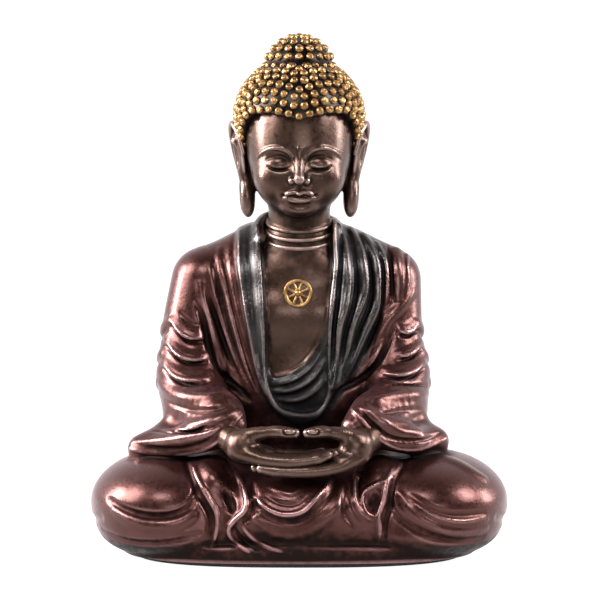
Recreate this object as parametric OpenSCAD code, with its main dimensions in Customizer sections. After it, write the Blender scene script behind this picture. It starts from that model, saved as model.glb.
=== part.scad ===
// Meditating seated figure, a hollow cast-resin statue bonded together from separate castings.
// The figure faces -Y, +X is its left hand side and +Z is up.
// The origin is on the table, under the middle of the statue.
// All lengths are millimetres.

/* [Statue] */
// Height from the table to the top of the topknot
statue_h = 200; // [180:5:240]
// Width across the two knees
knee_span = 160; // [152:1:168]
// Thickness of the hollow castings' walls
wall_t = 4; // [3:0.5:5]

/* [Underside] */
// Thickness of the felt pad
felt_t = 1; // [1:0.5:2]
// Thickness of the closing board above the felt
board_t = 3; // [2:0.5:4]
// Height of the plinth edge that the robe lies on
plinth_h = 9; // [7:0.5:11]

/* [Hair] */
// Radius of one snail-shell curl
curl_r = 1.5; // [1.2:0.1:1.7]
// Distance between neighbouring curls
curl_gap = 4.2; // [3.9:0.1:4.6]

/* [Pins] */
// Diameter of the steel rod through the neck
neck_rod_d = 5; // [4:0.5:6]
// Diameter of the small locating dowels
dowel_d = 3; // [2:0.5:4]
// Gap left around each pin for adhesive
glue_gap = 0.05; // [0.03:0.01:0.1]

/* [Hidden] */

u = statue_h / 200; // scale of the figure against its drawing height
fine = 28; // facets round the large organic forms
medium = 22; // facets round the sleeves
small = 14; // facets round the fingers
bronze = [0.36, 0.17, 0.15];
dark_bronze = [0.20, 0.17, 0.17];
skin = [0.30, 0.22, 0.19];
gilt = [0.80, 0.58, 0.25];
steel = [0.70, 0.70, 0.72];

// Legs and hips under the robe
knee_r = [30, 33.5, 20.2] * u;
knee_c = [knee_span / 2 - knee_r.x, -12 * u, 21 * u];
shin_c = [20, -28, 17.5] * u;
shin_r = [36, 19, 15.5] * u;
shin_turn = 11;
hip_c = [0, 16.7, 27] * u;
hip_r = [46, 32, 31] * u;
lap_c = [0, -8, 19] * u;
lap_r = [52, 36, 19] * u;
hand_seat_c = [0, -28, 22.5] * u;
hand_seat_r = [30, 19, 11.5] * u;

// Plinth, a rounded rectangle
plinth_half = [66.5, 45.5] * u;
plinth_y = -1.2 * u;
plinth_power = 2.7;
board_inset = 4 * u;

// Torso under the robe
belly_c = [0, 9, 62] * u;
belly_r = [36, 24, 33] * u;
chest_c = [0, 10, 93] * u;
chest_r = [38, 23, 30] * u;
shoulder_c = [0, 11, 107] * u;
shoulder_r = [44, 17, 14] * u;
collar_c = [0, 12, 115] * u;
collar_r = [27, 14, 13] * u;
torso_spigot_r = 16 * u;
torso_spigot_y = 12 * u;
torso_spigot_z = 40 * u;
torso_floor_z = 62 * u; // the torso is solid below this height

// Arms, given on the figure's left; the right sleeve hangs wider than the left one
shoulder_joint = [35.5, 10, 104.5] * u;
left_elbow = [37.6, 1, 67] * u;
right_elbow = [40.8, 1, 67] * u;
cuff = [30, -26, 50.5] * u;
sleeve_drop = [42, -4, 57] * u;
hem_inner = [35, -28, 46.5] * u;
left_hem_outer = [51, -20, 45] * u;
right_hem_outer = [58.5, -20, 44] * u;

// Hands, given for the figure's left hand
wrist = [29, -29, 47.5] * u;
palm_heel = [21, -36.5, 43] * u;
wrist_r = 5.2 * u;

// Head
neck_axis_y = 5 * u;
neck_r = 12.2 * u;
neck_z = [112, 140] * u;
neck_socket_t = 3 * u;
skull_c = [0, 4, 164] * u;
skull_r = [21.3, 22.6, 20.5] * u;
face_c = [0, -1.5, 150] * u;
face_r = [19.3, 19.5, 18.7] * u;
ear_c = [21.1, 4, 147.6] * u;
ear_r = [3.2, 6, 17.2] * u;
ear_flare = 6;
cap_c = [0, 4.5, 168] * u;
cap_r = [24.4, 25.2, 22.6] * u;
knot_c = [0, 7, 185.2] * u;
knot_r = [13, 13, 13.3] * u;
hairline_front = [-21, 166] * u; // y and z of the hairline over the brow
hairline_back = [29, 141] * u; // y and z of the hairline at the nape
hairline_tilt = atan2(hairline_front.y - hairline_back.y, hairline_back.x - hairline_front.x);

// Emblem on the chest
emblem_z = 100.8 * u;
emblem_r = 5.6 * u;
emblem_t = 1.6 * u;
emblem_back_y = chest_c.y - chest_r.y * sqrt(1 - pow((emblem_z - chest_c.z) / chest_r.z, 2)) + 0.5 * u;

// ---- shared shapes ----

// Solid ellipsoid, made smaller all round by inset
module blob(c, r, turn = [0, 0, 0], inset = 0) {
    translate(c) rotate(turn) scale([r.x - inset, r.y - inset, r.z - inset]) sphere(r = 1, $fn = fine);
}

// Tapered limb between two points
module limb(a, ra, b, rb, facets = medium) {
    hull() {
        translate(a) sphere(r = ra, $fn = facets);
        translate(b) sphere(r = rb, $fn = facets);
    }
}

// Organic forms are moulded as one skin
module moulded() {
    resize([0, 0, 0]) union() children();
}

module both_sides() {
    children();
    mirror([1, 0, 0]) children();
}

function superellipse(half, power, steps = 72) = [for (i = [0:steps - 1])
    let (a = 360 * i / steps, c = cos(a), s = sin(a))
    [half.x * sign(c) * pow(abs(c), 2 / power), half.y * sign(s) * pow(abs(s), 2 / power)]];

module oval_slab(z0, z1, inset = 0) {
    translate([0, plinth_y, z0]) linear_extrude(z1 - z0)
        polygon(superellipse([plinth_half.x - inset, plinth_half.y - inset], plinth_power));
}

module pin(at, direction, length, d) {
    translate(at) rotate([0, acos(direction.z / norm(direction)), atan2(direction.y, direction.x)])
        cylinder(h = length, d = d, center = true, $fn = 24);
}

// ---- body forms ----

module lap_form(inset = 0) {
    both_sides() {
        blob(knee_c, knee_r, inset = inset);
        blob(shin_c, shin_r, [0, 0, shin_turn], inset);
    }
    blob(hip_c, hip_r, inset = inset);
    blob(lap_c, lap_r, inset = inset);
    blob(hand_seat_c, hand_seat_r, inset = inset);
}

module torso_form(inset = 0) {
    blob(belly_c, belly_r, inset = inset);
    blob(chest_c, chest_r, inset = inset);
    blob(shoulder_c, shoulder_r, inset = inset);
    blob(collar_c, collar_r, inset = inset);
}

module arm_form(elbow, hem_outer) {
    limb(shoulder_joint, 13.3 * u, elbow, 13.4 * u);
    limb(elbow, 13.4 * u, cuff, 10 * u);
    limb(sleeve_drop, 10.5 * u, hem_outer, 6.5 * u);
    limb(hem_inner, 7.5 * u, hem_outer, 6.5 * u);
}

module above_hairline() {
    translate([0, hairline_front.x, hairline_front.y]) rotate([-hairline_tilt, 0, 0])
        translate([-50 * u, -60 * u, 0]) cube([100, 160, 90] * u);
}

module above_board(height = statue_h) {
    translate([-100, -100, felt_t + board_t]) cube([200, 200, height]);
}

// ---- pins ----

module neck_rod_shape(gap = 0) {
    translate([0, neck_axis_y, 104 * u]) cylinder(h = 48 * u, d = neck_rod_d + 2 * gap, $fn = 32);
}

module crown_peg_shape(gap = 0) {
    translate([0, knot_c.y, 176 * u]) cylinder(h = 16 * u, d = dowel_d + 2 * gap, $fn = 24);
}

module shoulder_dowel_shapes(gap = 0) {
    both_sides() pin([33, 10, 101] * u, [1, 0, 0], 18 * u, dowel_d + 2 * gap);
}

module wrist_dowel_shapes(gap = 0) {
    both_sides() pin((wrist + cuff) / 2, wrist - cuff + [-4, -7, -5] * u, 13 * u, dowel_d + 2 * gap);
}

module waist_dowel_shapes(gap = 0) {
    both_sides() pin([25, 12, 50] * u, [0, 0, 1], 18 * u, dowel_d + 2 * gap);
}

// ---- castings ----

module lap_casting() {
    color(bronze) difference() {
        moulded() {
            intersection() {
                lap_form();
                translate([-100, -100, felt_t]) cube([200, 200, 100]);
            }
            oval_slab(felt_t, plinth_h);
        }
        moulded() intersection() {
            lap_form(wall_t);
            above_board();
        }
        oval_slab(0, felt_t + board_t, board_inset);
        translate([0, torso_spigot_y, torso_spigot_z - 1])
            cylinder(h = 30 * u, r = torso_spigot_r + glue_gap, $fn = 64);
        waist_dowel_shapes(glue_gap);
    }
}

module torso_casting() {
    color(dark_bronze) difference() {
        union() {
            difference() {
                moulded() difference() {
                    torso_form();
                    lap_form();
                }
                moulded() intersection() {
                    torso_form(wall_t);
                    translate([-100, -100, torso_floor_z]) cube([200, 200, statue_h]);
                }
            }
            difference() {
                translate([0, torso_spigot_y, torso_spigot_z]) cylinder(h = 24 * u, r = torso_spigot_r, $fn = 64);
                translate([0, torso_spigot_y, torso_spigot_z - 1])
                    cylinder(h = 30 * u, r = torso_spigot_r - wall_t, $fn = 64);
            }
            translate([0, neck_axis_y, 106 * u]) cylinder(h = 18 * u, r = neck_r + neck_socket_t, $fn = 64);
        }
        translate([0, neck_axis_y, neck_z[0]]) cylinder(h = 40 * u, r = neck_r + glue_gap, $fn = 64);
        neck_rod_shape(glue_gap);
        shoulder_dowel_shapes(glue_gap);
        waist_dowel_shapes(glue_gap);
        translate([0, emblem_back_y + emblem_t, emblem_z]) rotate([90, 0, 0])
            cylinder(h = 2 * emblem_t, r = emblem_r + glue_gap, $fn = 64);
    }
}

module sleeve_form(elbow, hem_outer) {
    difference() {
        moulded() difference() {
            arm_form(elbow, hem_outer);
            torso_form();
            lap_form();
        }
        translate(wrist) pin([0, 0, 0], wrist - palm_heel, 16 * u, 2 * wrist_r + 2 * glue_gap);
        shoulder_dowel_shapes(glue_gap);
        wrist_dowel_shapes(glue_gap);
    }
}

module left_sleeve() {
    color(bronze) sleeve_form(left_elbow, left_hem_outer);
}

module right_sleeve() {
    color(bronze) mirror([1, 0, 0]) sleeve_form(right_elbow, right_hem_outer);
}

// One hand: palm, thumb and four fingers, tips meeting the other hand's at the middle
module hand_form(tip_x, lift) {
    limb(wrist, wrist_r, palm_heel, 5 * u, small);
    limb(palm_heel, 4.6 * u, [15, -42, 38.5 + lift] * u, 3.6 * u, small);
    limb([22.5, -38, 47.4] * u, 3.3 * u, [3, -43.2, 50.9] * u, 2.2 * u, small);
    for (f = [0:3])
        limb([15, -37.6 - 2.7 * f, 39 + lift] * u, 2.4 * u,
            [tip_x + 2 * f, -37.6 - 2.8 * f, 38.6 + lift] * u, 1.9 * u, small);
}

module right_hand_form() {
    mirror([1, 0, 0]) hand_form(-12, 2.3);
}

module left_hand_form() {
    hand_form(-9, -1.9);
}

module right_hand() {
    color(skin) difference() {
        right_hand_form();
        wrist_dowel_shapes(glue_gap);
    }
}

module left_hand() {
    color(skin) difference() {
        left_hand_form();
        mirror([1, 0, 0]) wrist_dowel_shapes(glue_gap);
    }
}

// ---- head ----

module head_form() {
    blob(skull_c, skull_r);
    blob(face_c, face_r);
    blob([0, -20.2, 146.5] * u, [3.4, 4, 7] * u);
    both_sides() blob(ear_c, ear_r, [0, ear_flare, 0]);
}

module head_casting() {
    color(skin) difference() {
        union() {
            moulded() head_form();
            translate([0, neck_axis_y, neck_z[0]]) cylinder(h = neck_z[1] - neck_z[0], r = neck_r, $fn = 64);
        }
        neck_rod_shape(glue_gap);
        crown_peg_shape(glue_gap);
        brow_bead_shape();
    }
}

module hair_cap() {
    color(dark_bronze) difference() {
        moulded() difference() {
            union() {
                intersection() {
                    blob(cap_c, cap_r);
                    above_hairline();
                }
                blob(knot_c, knot_r);
            }
            head_form();
        }
        crown_peg_shape(glue_gap);
    }
}

// One curl is a dome with a small dimple, standing on the hair
module curl() {
    rotate_extrude($fn = 24) difference() {
        intersection() {
            circle(r = curl_r, $fn = 24);
            square(curl_r);
        }
        translate([0, curl_r + 0.3]) circle(r = 0.75, $fn = 20);
    }
}

// A curl on an ellipsoid, at a compass angle from the front and a polar angle from the crown
module curl_on(c, r, around, polar) {
    dir = [sin(around) * sin(polar), -cos(around) * sin(polar), cos(polar)];
    at = [dir.x * r.x, dir.y * r.y, dir.z * r.z];
    out = [dir.x / r.x, dir.y / r.y, dir.z / r.z];
    translate(c + at) rotate([0, acos(out.z / norm(out)), atan2(out.y, out.x)]) curl();
}

function on_ellipsoid(c, r, around, polar) =
    c + [r.x * sin(around) * sin(polar), -r.y * cos(around) * sin(polar), r.z * cos(polar)];

function above_line(p, margin) =
    (p.z - hairline_front.y) * cos(hairline_tilt) + (p.y - hairline_front.x) * sin(hairline_tilt) > margin;

module curl_rows(c, r, polar_from, polar_to, centre_clear) {
    step = curl_gap * 0.9 / ((r.x + r.z) / 2) * 180 / PI;
    rows = floor((polar_to - polar_from) / step);
    for (row = [0:rows]) {
        polar = polar_from + row * step;
        count = max(1, round(2 * PI * r.x * sin(polar) / curl_gap));
        for (i = [0:count - 1]) {
            around = 360 * (i + (row % 2) / 2) / count;
            p = on_ellipsoid(c, r, around, polar);
            clear_of_knot = norm([p.x - knot_c.x, p.y - knot_c.y]) > centre_clear;
            if (above_line(p, curl_r * 0.8) && clear_of_knot)
                curl_on(c, r, around, polar);
        }
    }
}

module hair_curls() {
    color(gilt) {
        curl_rows(knot_c, knot_r, 0, 88, -1);
        curl_rows(cap_c, cap_r, 24, 128, knot_r.x + curl_r);
    }
}

module brow_bead_shape() {
    translate([0, -19.8, 156.8] * u) sphere(r = 1 * u, $fn = 24);
}

module brow_bead() {
    color(skin) brow_bead_shape();
}

// ---- emblem: an eight-spoked wheel ----

module chest_emblem() {
    rim_t = 1.1 * u;
    spoke_w = 0.9 * u;
    color(gilt) translate([0, emblem_back_y, emblem_z]) rotate([90, 0, 0]) {
        difference() {
            cylinder(h = emblem_t, r = emblem_r, $fn = 64);
            translate([0, 0, -1]) cylinder(h = emblem_t + 2, r = emblem_r - rim_t, $fn = 64);
        }
        cylinder(h = emblem_t, r = 1.5 * u, $fn = 32);
        for (i = [0:3])
            rotate([0, 0, 45 * i]) translate([0, 0, emblem_t * 0.4])
                cube([2 * (emblem_r - rim_t / 2), spoke_w, emblem_t * 0.8], center = true);
    }
}

// ---- inside and underneath ----

module neck_rod() {
    color(steel) neck_rod_shape();
}

module crown_peg() {
    color(steel) crown_peg_shape();
}

module shoulder_dowels() {
    color(steel) shoulder_dowel_shapes();
}

module wrist_dowels() {
    color(steel) wrist_dowel_shapes();
}

module waist_dowels() {
    color(steel) waist_dowel_shapes();
}

module ballast_fill() {
    fill_top = 30 * u;
    color([0.75, 0.73, 0.68]) moulded() intersection() {
        lap_form(wall_t + glue_gap);
        above_board(fill_top);
    }
}

module closing_board() {
    color([0.55, 0.42, 0.28]) oval_slab(felt_t, felt_t + board_t, board_inset + glue_gap);
}

module felt_pad() {
    color([0.08, 0.08, 0.08]) oval_slab(0, felt_t, 3);
}

lap_casting();
torso_casting();
right_sleeve();
left_sleeve();
right_hand();
left_hand();
head_casting();
hair_cap();
hair_curls();
brow_bead();
chest_emblem();
neck_rod();
crown_peg();
shoulder_dowels();
wrist_dowels();
waist_dowels();
ballast_fill();
closing_board();
felt_pad();
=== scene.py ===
import math

import bpy
import numpy as np
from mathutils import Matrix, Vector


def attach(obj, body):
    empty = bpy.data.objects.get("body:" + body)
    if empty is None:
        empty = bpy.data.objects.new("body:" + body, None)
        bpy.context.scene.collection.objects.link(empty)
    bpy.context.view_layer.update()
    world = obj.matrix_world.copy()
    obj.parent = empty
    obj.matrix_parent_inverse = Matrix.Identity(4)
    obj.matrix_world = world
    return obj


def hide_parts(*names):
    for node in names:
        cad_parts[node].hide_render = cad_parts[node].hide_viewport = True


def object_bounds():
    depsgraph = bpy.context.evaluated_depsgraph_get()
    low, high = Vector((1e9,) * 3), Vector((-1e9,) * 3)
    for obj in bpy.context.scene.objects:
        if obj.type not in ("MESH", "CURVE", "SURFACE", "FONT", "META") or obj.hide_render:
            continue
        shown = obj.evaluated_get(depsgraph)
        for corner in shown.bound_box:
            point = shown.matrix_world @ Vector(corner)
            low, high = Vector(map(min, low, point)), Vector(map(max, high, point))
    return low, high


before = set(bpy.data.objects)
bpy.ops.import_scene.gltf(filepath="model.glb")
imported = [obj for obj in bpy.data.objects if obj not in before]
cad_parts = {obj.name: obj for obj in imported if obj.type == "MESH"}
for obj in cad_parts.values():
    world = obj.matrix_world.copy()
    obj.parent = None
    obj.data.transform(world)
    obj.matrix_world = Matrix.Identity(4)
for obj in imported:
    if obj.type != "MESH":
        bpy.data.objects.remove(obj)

import openvdb
from mathutils import Vector

# The figure is modelled in clay on distance grids, in drawing millimetres: a statue 200 high that
# faces -Y. UNIT turns them into the frame's metres.
CAD_LOW, CAD_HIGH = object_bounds()
DRAWN_HEIGHT = 200.0
UNIT = (CAD_HIGH.z - CAD_LOW.z) / DRAWN_HEIGHT
FAR = 40.0
BODY_STEP = 0.6
HAND_STEP = 0.3
HEAD_STEP = 0.35


# ---------------------------------------------------------------- clay

def soft_min(a, b, k):
    """The lesser of two distances, rounded where they are within k of each other."""
    if k <= 0:
        return np.minimum(a, b)
    h = np.maximum(k - np.abs(a - b), 0) / k
    return np.minimum(a, b) - h * h * k * 0.25


def soft_max(a, b, k):
    return -soft_min(-a, -b, k)


def spline(points, samples):
    """A smooth line through the points, as an array of that many samples."""
    p = np.array(points, float)
    p = np.vstack([2 * p[0] - p[1], p, 2 * p[-1] - p[-2]])
    t = np.linspace(0, len(p) - 3 - 1e-9, samples)
    i = t.astype(int)
    f = (t - i)[:, None]
    a, b, c, d = p[i], p[i + 1], p[i + 2], p[i + 3]
    return 0.5 * (2 * b + (c - a) * f + (2 * a - 5 * b + 4 * c - d) * f ** 2
                  + (3 * b - a - 3 * c + d) * f ** 3)


def longest_run(points, gap=3.5):
    """The longest stretch of points with no jump between neighbours, as there is from arm to chest."""
    jumps = np.where(np.linalg.norm(np.diff(points, axis=0), axis=1) > gap)[0] + 1
    return max(np.split(points, jumps), key=len)


def turn_matrix(turn):
    """Rotation by degrees about X, then Y, then Z."""
    x, y, z = (math.radians(v) for v in turn)
    rx = np.array([[1, 0, 0], [0, math.cos(x), -math.sin(x)], [0, math.sin(x), math.cos(x)]])
    ry = np.array([[math.cos(y), 0, math.sin(y)], [0, 1, 0], [-math.sin(y), 0, math.cos(y)]])
    rz = np.array([[math.cos(z), -math.sin(z), 0], [math.sin(z), math.cos(z), 0], [0, 0, 1]])
    return rz @ ry @ rx


class Clay:
    """Signed distances on a grid: negative inside the clay."""

    def __init__(self, low, high, step):
        self.low = np.array(low, float)
        self.step = step
        self.shape = [int(math.ceil((high[i] - low[i]) / step)) + 1 for i in range(3)]
        self.axes = [(low[i] + step * np.arange(self.shape[i])).astype(np.float32) for i in range(3)]
        self.d = np.full(self.shape, FAR, np.float32)

    def copy(self):
        twin = Clay.__new__(Clay)
        twin.low, twin.step, twin.shape, twin.axes = self.low, self.step, self.shape, self.axes
        twin.d = self.d.copy()
        return twin

    def window(self, low, high):
        cut = []
        for i in range(3):
            a = int((low[i] - self.low[i]) / self.step)
            b = int((high[i] - self.low[i]) / self.step) + 2
            cut.append(slice(min(max(a, 0), self.shape[i] - 1), min(max(b, 1), self.shape[i])))
        x = self.axes[0][cut[0]][:, None, None]
        y = self.axes[1][cut[1]][None, :, None]
        z = self.axes[2][cut[2]][None, None, :]
        return tuple(cut), x, y, z

    # shapes: each returns a window and the distances in it

    def ellipsoid(self, c, r, turn=(0, 0, 0), margin=8.0):
        reach = max(r) if any(turn) else 0
        size = [max(v, reach) + margin for v in r]
        cut, x, y, z = self.window([c[i] - size[i] for i in range(3)], [c[i] + size[i] for i in range(3)])
        px, py, pz = x - c[0], y - c[1], z - c[2]
        if any(turn):
            m = turn_matrix(turn).T
            px, py, pz = (m[i, 0] * px + m[i, 1] * py + m[i, 2] * pz for i in range(3))
        k0 = np.sqrt((px / r[0]) ** 2 + (py / r[1]) ** 2 + (pz / r[2]) ** 2)
        k1 = np.sqrt((px / r[0] ** 2) ** 2 + (py / r[1] ** 2) ** 2 + (pz / r[2] ** 2) ** 2)
        return cut, (k0 * (k0 - 1) / np.maximum(k1, 1e-6)).astype(np.float32)

    def tube(self, points, radii, margin=4.0):
        """A round tube along the points, with a radius at each."""
        p = np.array(points, float)
        r = np.broadcast_to(np.array(radii, float), (len(p),))
        pad = r.max() + margin
        cut, _, _, _ = self.window(p.min(0) - pad, p.max(0) + pad)
        shape = [c.stop - c.start for c in cut]
        out = np.full(shape, FAR, np.float32)
        for a, b, ra, rb in zip(p[:-1], p[1:], r[:-1], r[1:]):
            pad = max(ra, rb) + margin
            sub, x, y, z = self.window(np.minimum(a, b) - pad, np.maximum(a, b) + pad)
            d = b - a
            length2 = max(float(d @ d), 1e-9)
            t = np.clip(((x - a[0]) * d[0] + (y - a[1]) * d[1] + (z - a[2]) * d[2]) / length2, 0, 1)
            gap = np.sqrt((x - a[0] - t * d[0]) ** 2 + (y - a[1] - t * d[1]) ** 2
                          + (z - a[2] - t * d[2]) ** 2)
            gap = gap - (ra + t * (rb - ra))
            inner = tuple(slice(s.start - c.start, s.stop - c.start) for s, c in zip(sub, cut))
            out[inner] = np.minimum(out[inner], gap)
        return cut, out

    # ways to work the clay

    def add(self, made, k=0.0):
        cut, d = made
        self.d[cut] = soft_min(self.d[cut], d, k)

    def carve(self, made, k=0.0):
        cut, d = made
        self.d[cut] = soft_max(self.d[cut], -d, k)

    def keep(self, d, k=0.0):
        """Keeps only what lies inside another whole grid of distances."""
        self.d = soft_max(self.d, d, k)

    # finding the skin

    def value(self, p):
        """Distances at any points, by linear interpolation."""
        q = (np.asarray(p, float) - self.low) / self.step
        q = np.clip(q, 0, np.array(self.shape) - 1.001)
        i = q.astype(int)
        f = q - i
        out = 0
        for corner in range(8):
            o = [(corner >> k) & 1 for k in range(3)]
            w = np.prod([f[..., k] if o[k] else 1 - f[..., k] for k in range(3)], axis=0)
            out = out + w * self.d[i[..., 0] + o[0], i[..., 1] + o[1], i[..., 2] + o[2]]
        return out

    def normal(self, p):
        e = self.step
        g = np.stack([self.value(p + np.eye(3)[k] * e) - self.value(p - np.eye(3)[k] * e) for k in range(3)],
                     -1)
        return g / np.maximum(np.linalg.norm(g, axis=-1, keepdims=True), 1e-6)

    def land(self, flat, side):
        """Drops flat points onto the skin, seen from a side: front and back take (x, z), left and right
        take (y, z) and top takes (x, y)."""
        axis = {"front": 1, "back": 1, "left": 0, "right": 0, "top": 2}[side]
        from_low = side in ("front", "right")
        others = [k for k in range(3) if k != axis]
        count = self.shape[axis]
        travel = self.axes[axis].astype(float)
        if not from_low:
            travel = travel[::-1]
        flat = np.asarray(flat, float)
        p = np.zeros((len(flat), count, 3))
        p[..., axis] = travel[None, :]
        for k, o in enumerate(others):
            p[..., o] = flat[:, k][:, None]
        d = self.value(p)
        inside = d < 0
        hit = np.maximum(inside.argmax(1), 1)
        hit = np.where(inside.any(1), hit, count // 2)
        rows = np.arange(len(flat))
        d0, d1 = d[rows, hit - 1], d[rows, hit]
        f = np.clip(d0 / np.where(np.abs(d0 - d1) < 1e-9, 1, d0 - d1), 0, 1)
        out = p[rows, hit].copy()
        out[:, axis] = travel[hit - 1] + f * (travel[hit] - travel[hit - 1])
        return out

    # strokes: folds and creases laid along the skin

    def stroke(self, path, radius, height, side="front", k=1.5, ends=(0.0, 0.0), samples=None):
        """A ridge (height above 0) or a groove (below 0) along the skin. ends says how much of the
        radius is left at the two ends."""
        path = np.array(path, float)
        length = np.linalg.norm(np.diff(path, axis=0), axis=1).sum()
        samples = samples or max(8, int(length / 1.2))
        flat = spline(path, samples)
        p = longest_run(self.land(flat, side)) if flat.shape[1] == 2 else flat
        samples = len(p)
        if samples < 3:
            return
        p[1:-1] = (p[:-2] + 2 * p[1:-1] + p[2:]) / 4
        t = np.linspace(0, 1, samples)
        swell = np.sin(np.pi * t) ** 0.6
        left = ends[0] * (1 - t) + ends[1] * t
        share = np.clip(left + (1 - left) * swell, 0.02, 1)
        n = self.normal(p)
        r = radius * (0.45 + 0.55 * share)
        if height > 0:
            centre = p - n * (r - height * share)[:, None]
            self.add(self.tube(centre, r), k)
        else:
            centre = p + n * (r + height * share)[:, None]
            self.carve(self.tube(centre, r), k)

    def mesh(self, name, slot):
        """Turns the clay into a mesh object in the frame's metres."""
        grid = openvdb.FloatGrid(FAR)
        grid.copyFromArray(np.ascontiguousarray(self.d))
        points, quads = grid.convertToQuads(0.0)
        points = points.astype(float) * self.step + self.low
        quads = quads.astype(int)
        a, b, c = points[quads[:, 0]], points[quads[:, 1]], points[quads[:, 2]]
        if np.einsum("ij,ij->", np.cross(b, c), a) < 0:
            quads = quads[:, ::-1]
        return build_mesh(name, points, quads, slot)


def build_mesh(name, points, faces, slot):
    """A smooth-shaded mesh object from drawing millimetres. A corner named twice makes a triangle."""
    mesh = bpy.data.meshes.new(name)
    corners = [tuple(dict.fromkeys(face)) for face in faces.tolist()]
    mesh.from_pydata((points * UNIT).tolist(), [], corners)
    mesh.validate()
    mesh.polygons.foreach_set("use_smooth", np.ones(len(mesh.polygons), bool))
    mesh.update()
    obj = bpy.data.objects.new(name, mesh)
    bpy.context.scene.collection.objects.link(obj)
    return obj


def flat_distance(clay, outline, samples=160):
    """Signed distance in the X-Z plane from a closed smooth outline, negative inside, on the clay's grid."""
    ring = np.array(outline, float)
    p = spline(np.vstack([ring, ring[:1]]), samples)[:-1]
    q = np.roll(p, -1, axis=0)
    x = clay.axes[0][:, None].astype(float)
    z = clay.axes[2][None, :].astype(float)
    best = np.full((len(clay.axes[0]), len(clay.axes[2])), 1e9)
    inside = np.zeros(best.shape, bool)
    for a, b in zip(p, q):
        d = b - a
        t = np.clip(((x - a[0]) * d[0] + (z - a[1]) * d[1]) / max(float(d @ d), 1e-12), 0, 1)
        best = np.minimum(best, (x - a[0] - t * d[0]) ** 2 + (z - a[1] - t * d[1]) ** 2)
        crosses = (a[1] > z) != (b[1] > z)
        if abs(d[1]) > 1e-12:
            inside ^= crosses & (x < d[0] * (z - a[1]) / d[1] + a[0])
    return (np.sqrt(best) * np.where(inside, -1, 1)).astype(np.float32)


# ---------------------------------------------------------------- robed body

BODY_LOW, BODY_HIGH = (-84, -54, 0), (84, 53, 134)

# Openings of the two robes over the chest, as X and Z
OUTER_OPENING = [(-17.5, 138), (-16, 126), (-14.8, 113), (-13.8, 98), (-13.2, 84), (-13, 72), (-11.6, 64),
                 (-8.4, 58), (-2.5, 55.5), (4, 55.2), (8.6, 57), (11, 62), (11, 72), (11, 82), (12, 98),
                 (13.4, 111), (13, 126), (14, 138)]
INNER_OPENING = [(-15.5, 138), (-13.5, 112), (-12.4, 92), (-11.8, 78), (-10.8, 69.4), (-7, 69), (-2, 71),
                 (3.5, 75.5), (8, 82.5), (10.5, 91), (11.6, 100), (12.2, 112), (12.5, 138)]
BAND_OUTLINE = [(-25, 138), (-24.3, 123), (-24, 113), (-22.6, 103), (-20.3, 89), (-16.9, 71), (-13, 61),
                (-8, 54.5), (0, 50), (8, 53), (11, 62), (11, 82), (13.4, 111), (14, 138)]


def torso_forms(clay):
    clay.add(clay.ellipsoid((0, 9, 60), (34, 21.5, 33)), 8)
    clay.add(clay.ellipsoid((0, 10, 92), (36, 21.5, 28)), 8)
    clay.add(clay.ellipsoid((0, 11, 106), (42, 15.5, 13)), 6)
    clay.add(clay.ellipsoid((0, 12, 113), (26, 13, 12.5)), 7)
    clay.add(clay.ellipsoid((0, 2, 107), (22, 10.5, 9.5)), 6)
    clay.add(clay.tube([(-13, 9, 116), (-29, 10, 110)], [6.3, 6.3]), 5)
    clay.add(clay.tube([(12, 9, 115.5), (29.5, 10, 109.5)], [6.3, 6.3]), 5)
    clay.add(clay.tube([(0, 6, 112), (0, 5, 121)], [15.5, 12.8], 8), 3)
    for side in (-1, 1):
        clay.add(clay.ellipsoid((side * 9, -4, 92), (10, 7.5, 9)), 6)


def sleeve_forms(clay, side):
    if side < 0:
        upper = [(-36.5, 9, 104), (-40, 6, 86), (-41.4, 1, 68)]
        fore = [upper[-1], (-37.5, -12, 58), (-30, -23, 55.2), (-24.5, -28.5, 51.8)]
        hang = [(-43, -4, 57), (-46, -10, 49), (-60.3, -17, 41.6)]
        thick, fore_thick = [13.2, 13.2, 13.2], [12.4, 11.4, 9.2, 4.6]
    else:
        upper = [(35, 10, 104), (35.8, 6, 86), (37.4, 1, 68)]
        fore = [upper[-1], (36.5, -12, 58), (28, -24, 55.2), (20.5, -31, 51.6)]
        hang = [(39, -4, 57), (42, -10, 50), (52, -17, 44.4)]
        thick, fore_thick = [12.4, 12, 12.4], [12, 11.2, 9, 4.7]
    clay.add(clay.tube(spline(upper, 12), np.interp(np.linspace(0, 2, 12), [0, 1, 2], thick), 10), 6)
    clay.add(clay.tube(spline(fore, 16), np.interp(np.linspace(0, 3, 16), [0, 1, 2, 3], fore_thick), 10), 5)
    clay.add(clay.tube(hang, [9, 6.6, 3.8], 10), 7)
    clay.add(clay.tube([(side * 32, -29, 49), (side * 43, -26, 46), hang[-1]], [6.2, 5.6, 4], 8), 6)


def lap_forms(clay):
    for side in (-1, 1):
        clay.add(clay.ellipsoid((side * 50.2, -12, 20.8), (30, 33, 20)), 6)
        clay.add(clay.ellipsoid((side * 45, -15, 11), (29.5, 30, 10)), 8)
        clay.add(clay.ellipsoid((side * 20, -27, 17), (35, 17.5, 13.5), (0, 0, side * 10)), 6)
    clay.add(clay.ellipsoid((0, 16.5, 27), (45.5, 31, 30)), 8)
    clay.add(clay.ellipsoid((0, -8, 19), (50, 35, 17)), 6)
    clay.add(clay.ellipsoid((0, -28, 22.5), (27, 19, 11.5)), 6)
    clay.add(clay.ellipsoid((-33, -25, 27.5), (11, 16, 13)), 5)
    clay.add(clay.ellipsoid((31, -25, 27.5), (11, 16, 13)), 5)


def front_roll(clay):
    """Cloth that fills the hollow between the shins and lies over the front of the plinth."""
    clay.add(clay.tube([(-40, -30, 8.5), (-20, -35.5, 8.8), (0, -37.3, 9), (20, -35.5, 8.8), (40, -30, 8.5)],
                       7), 5)


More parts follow.
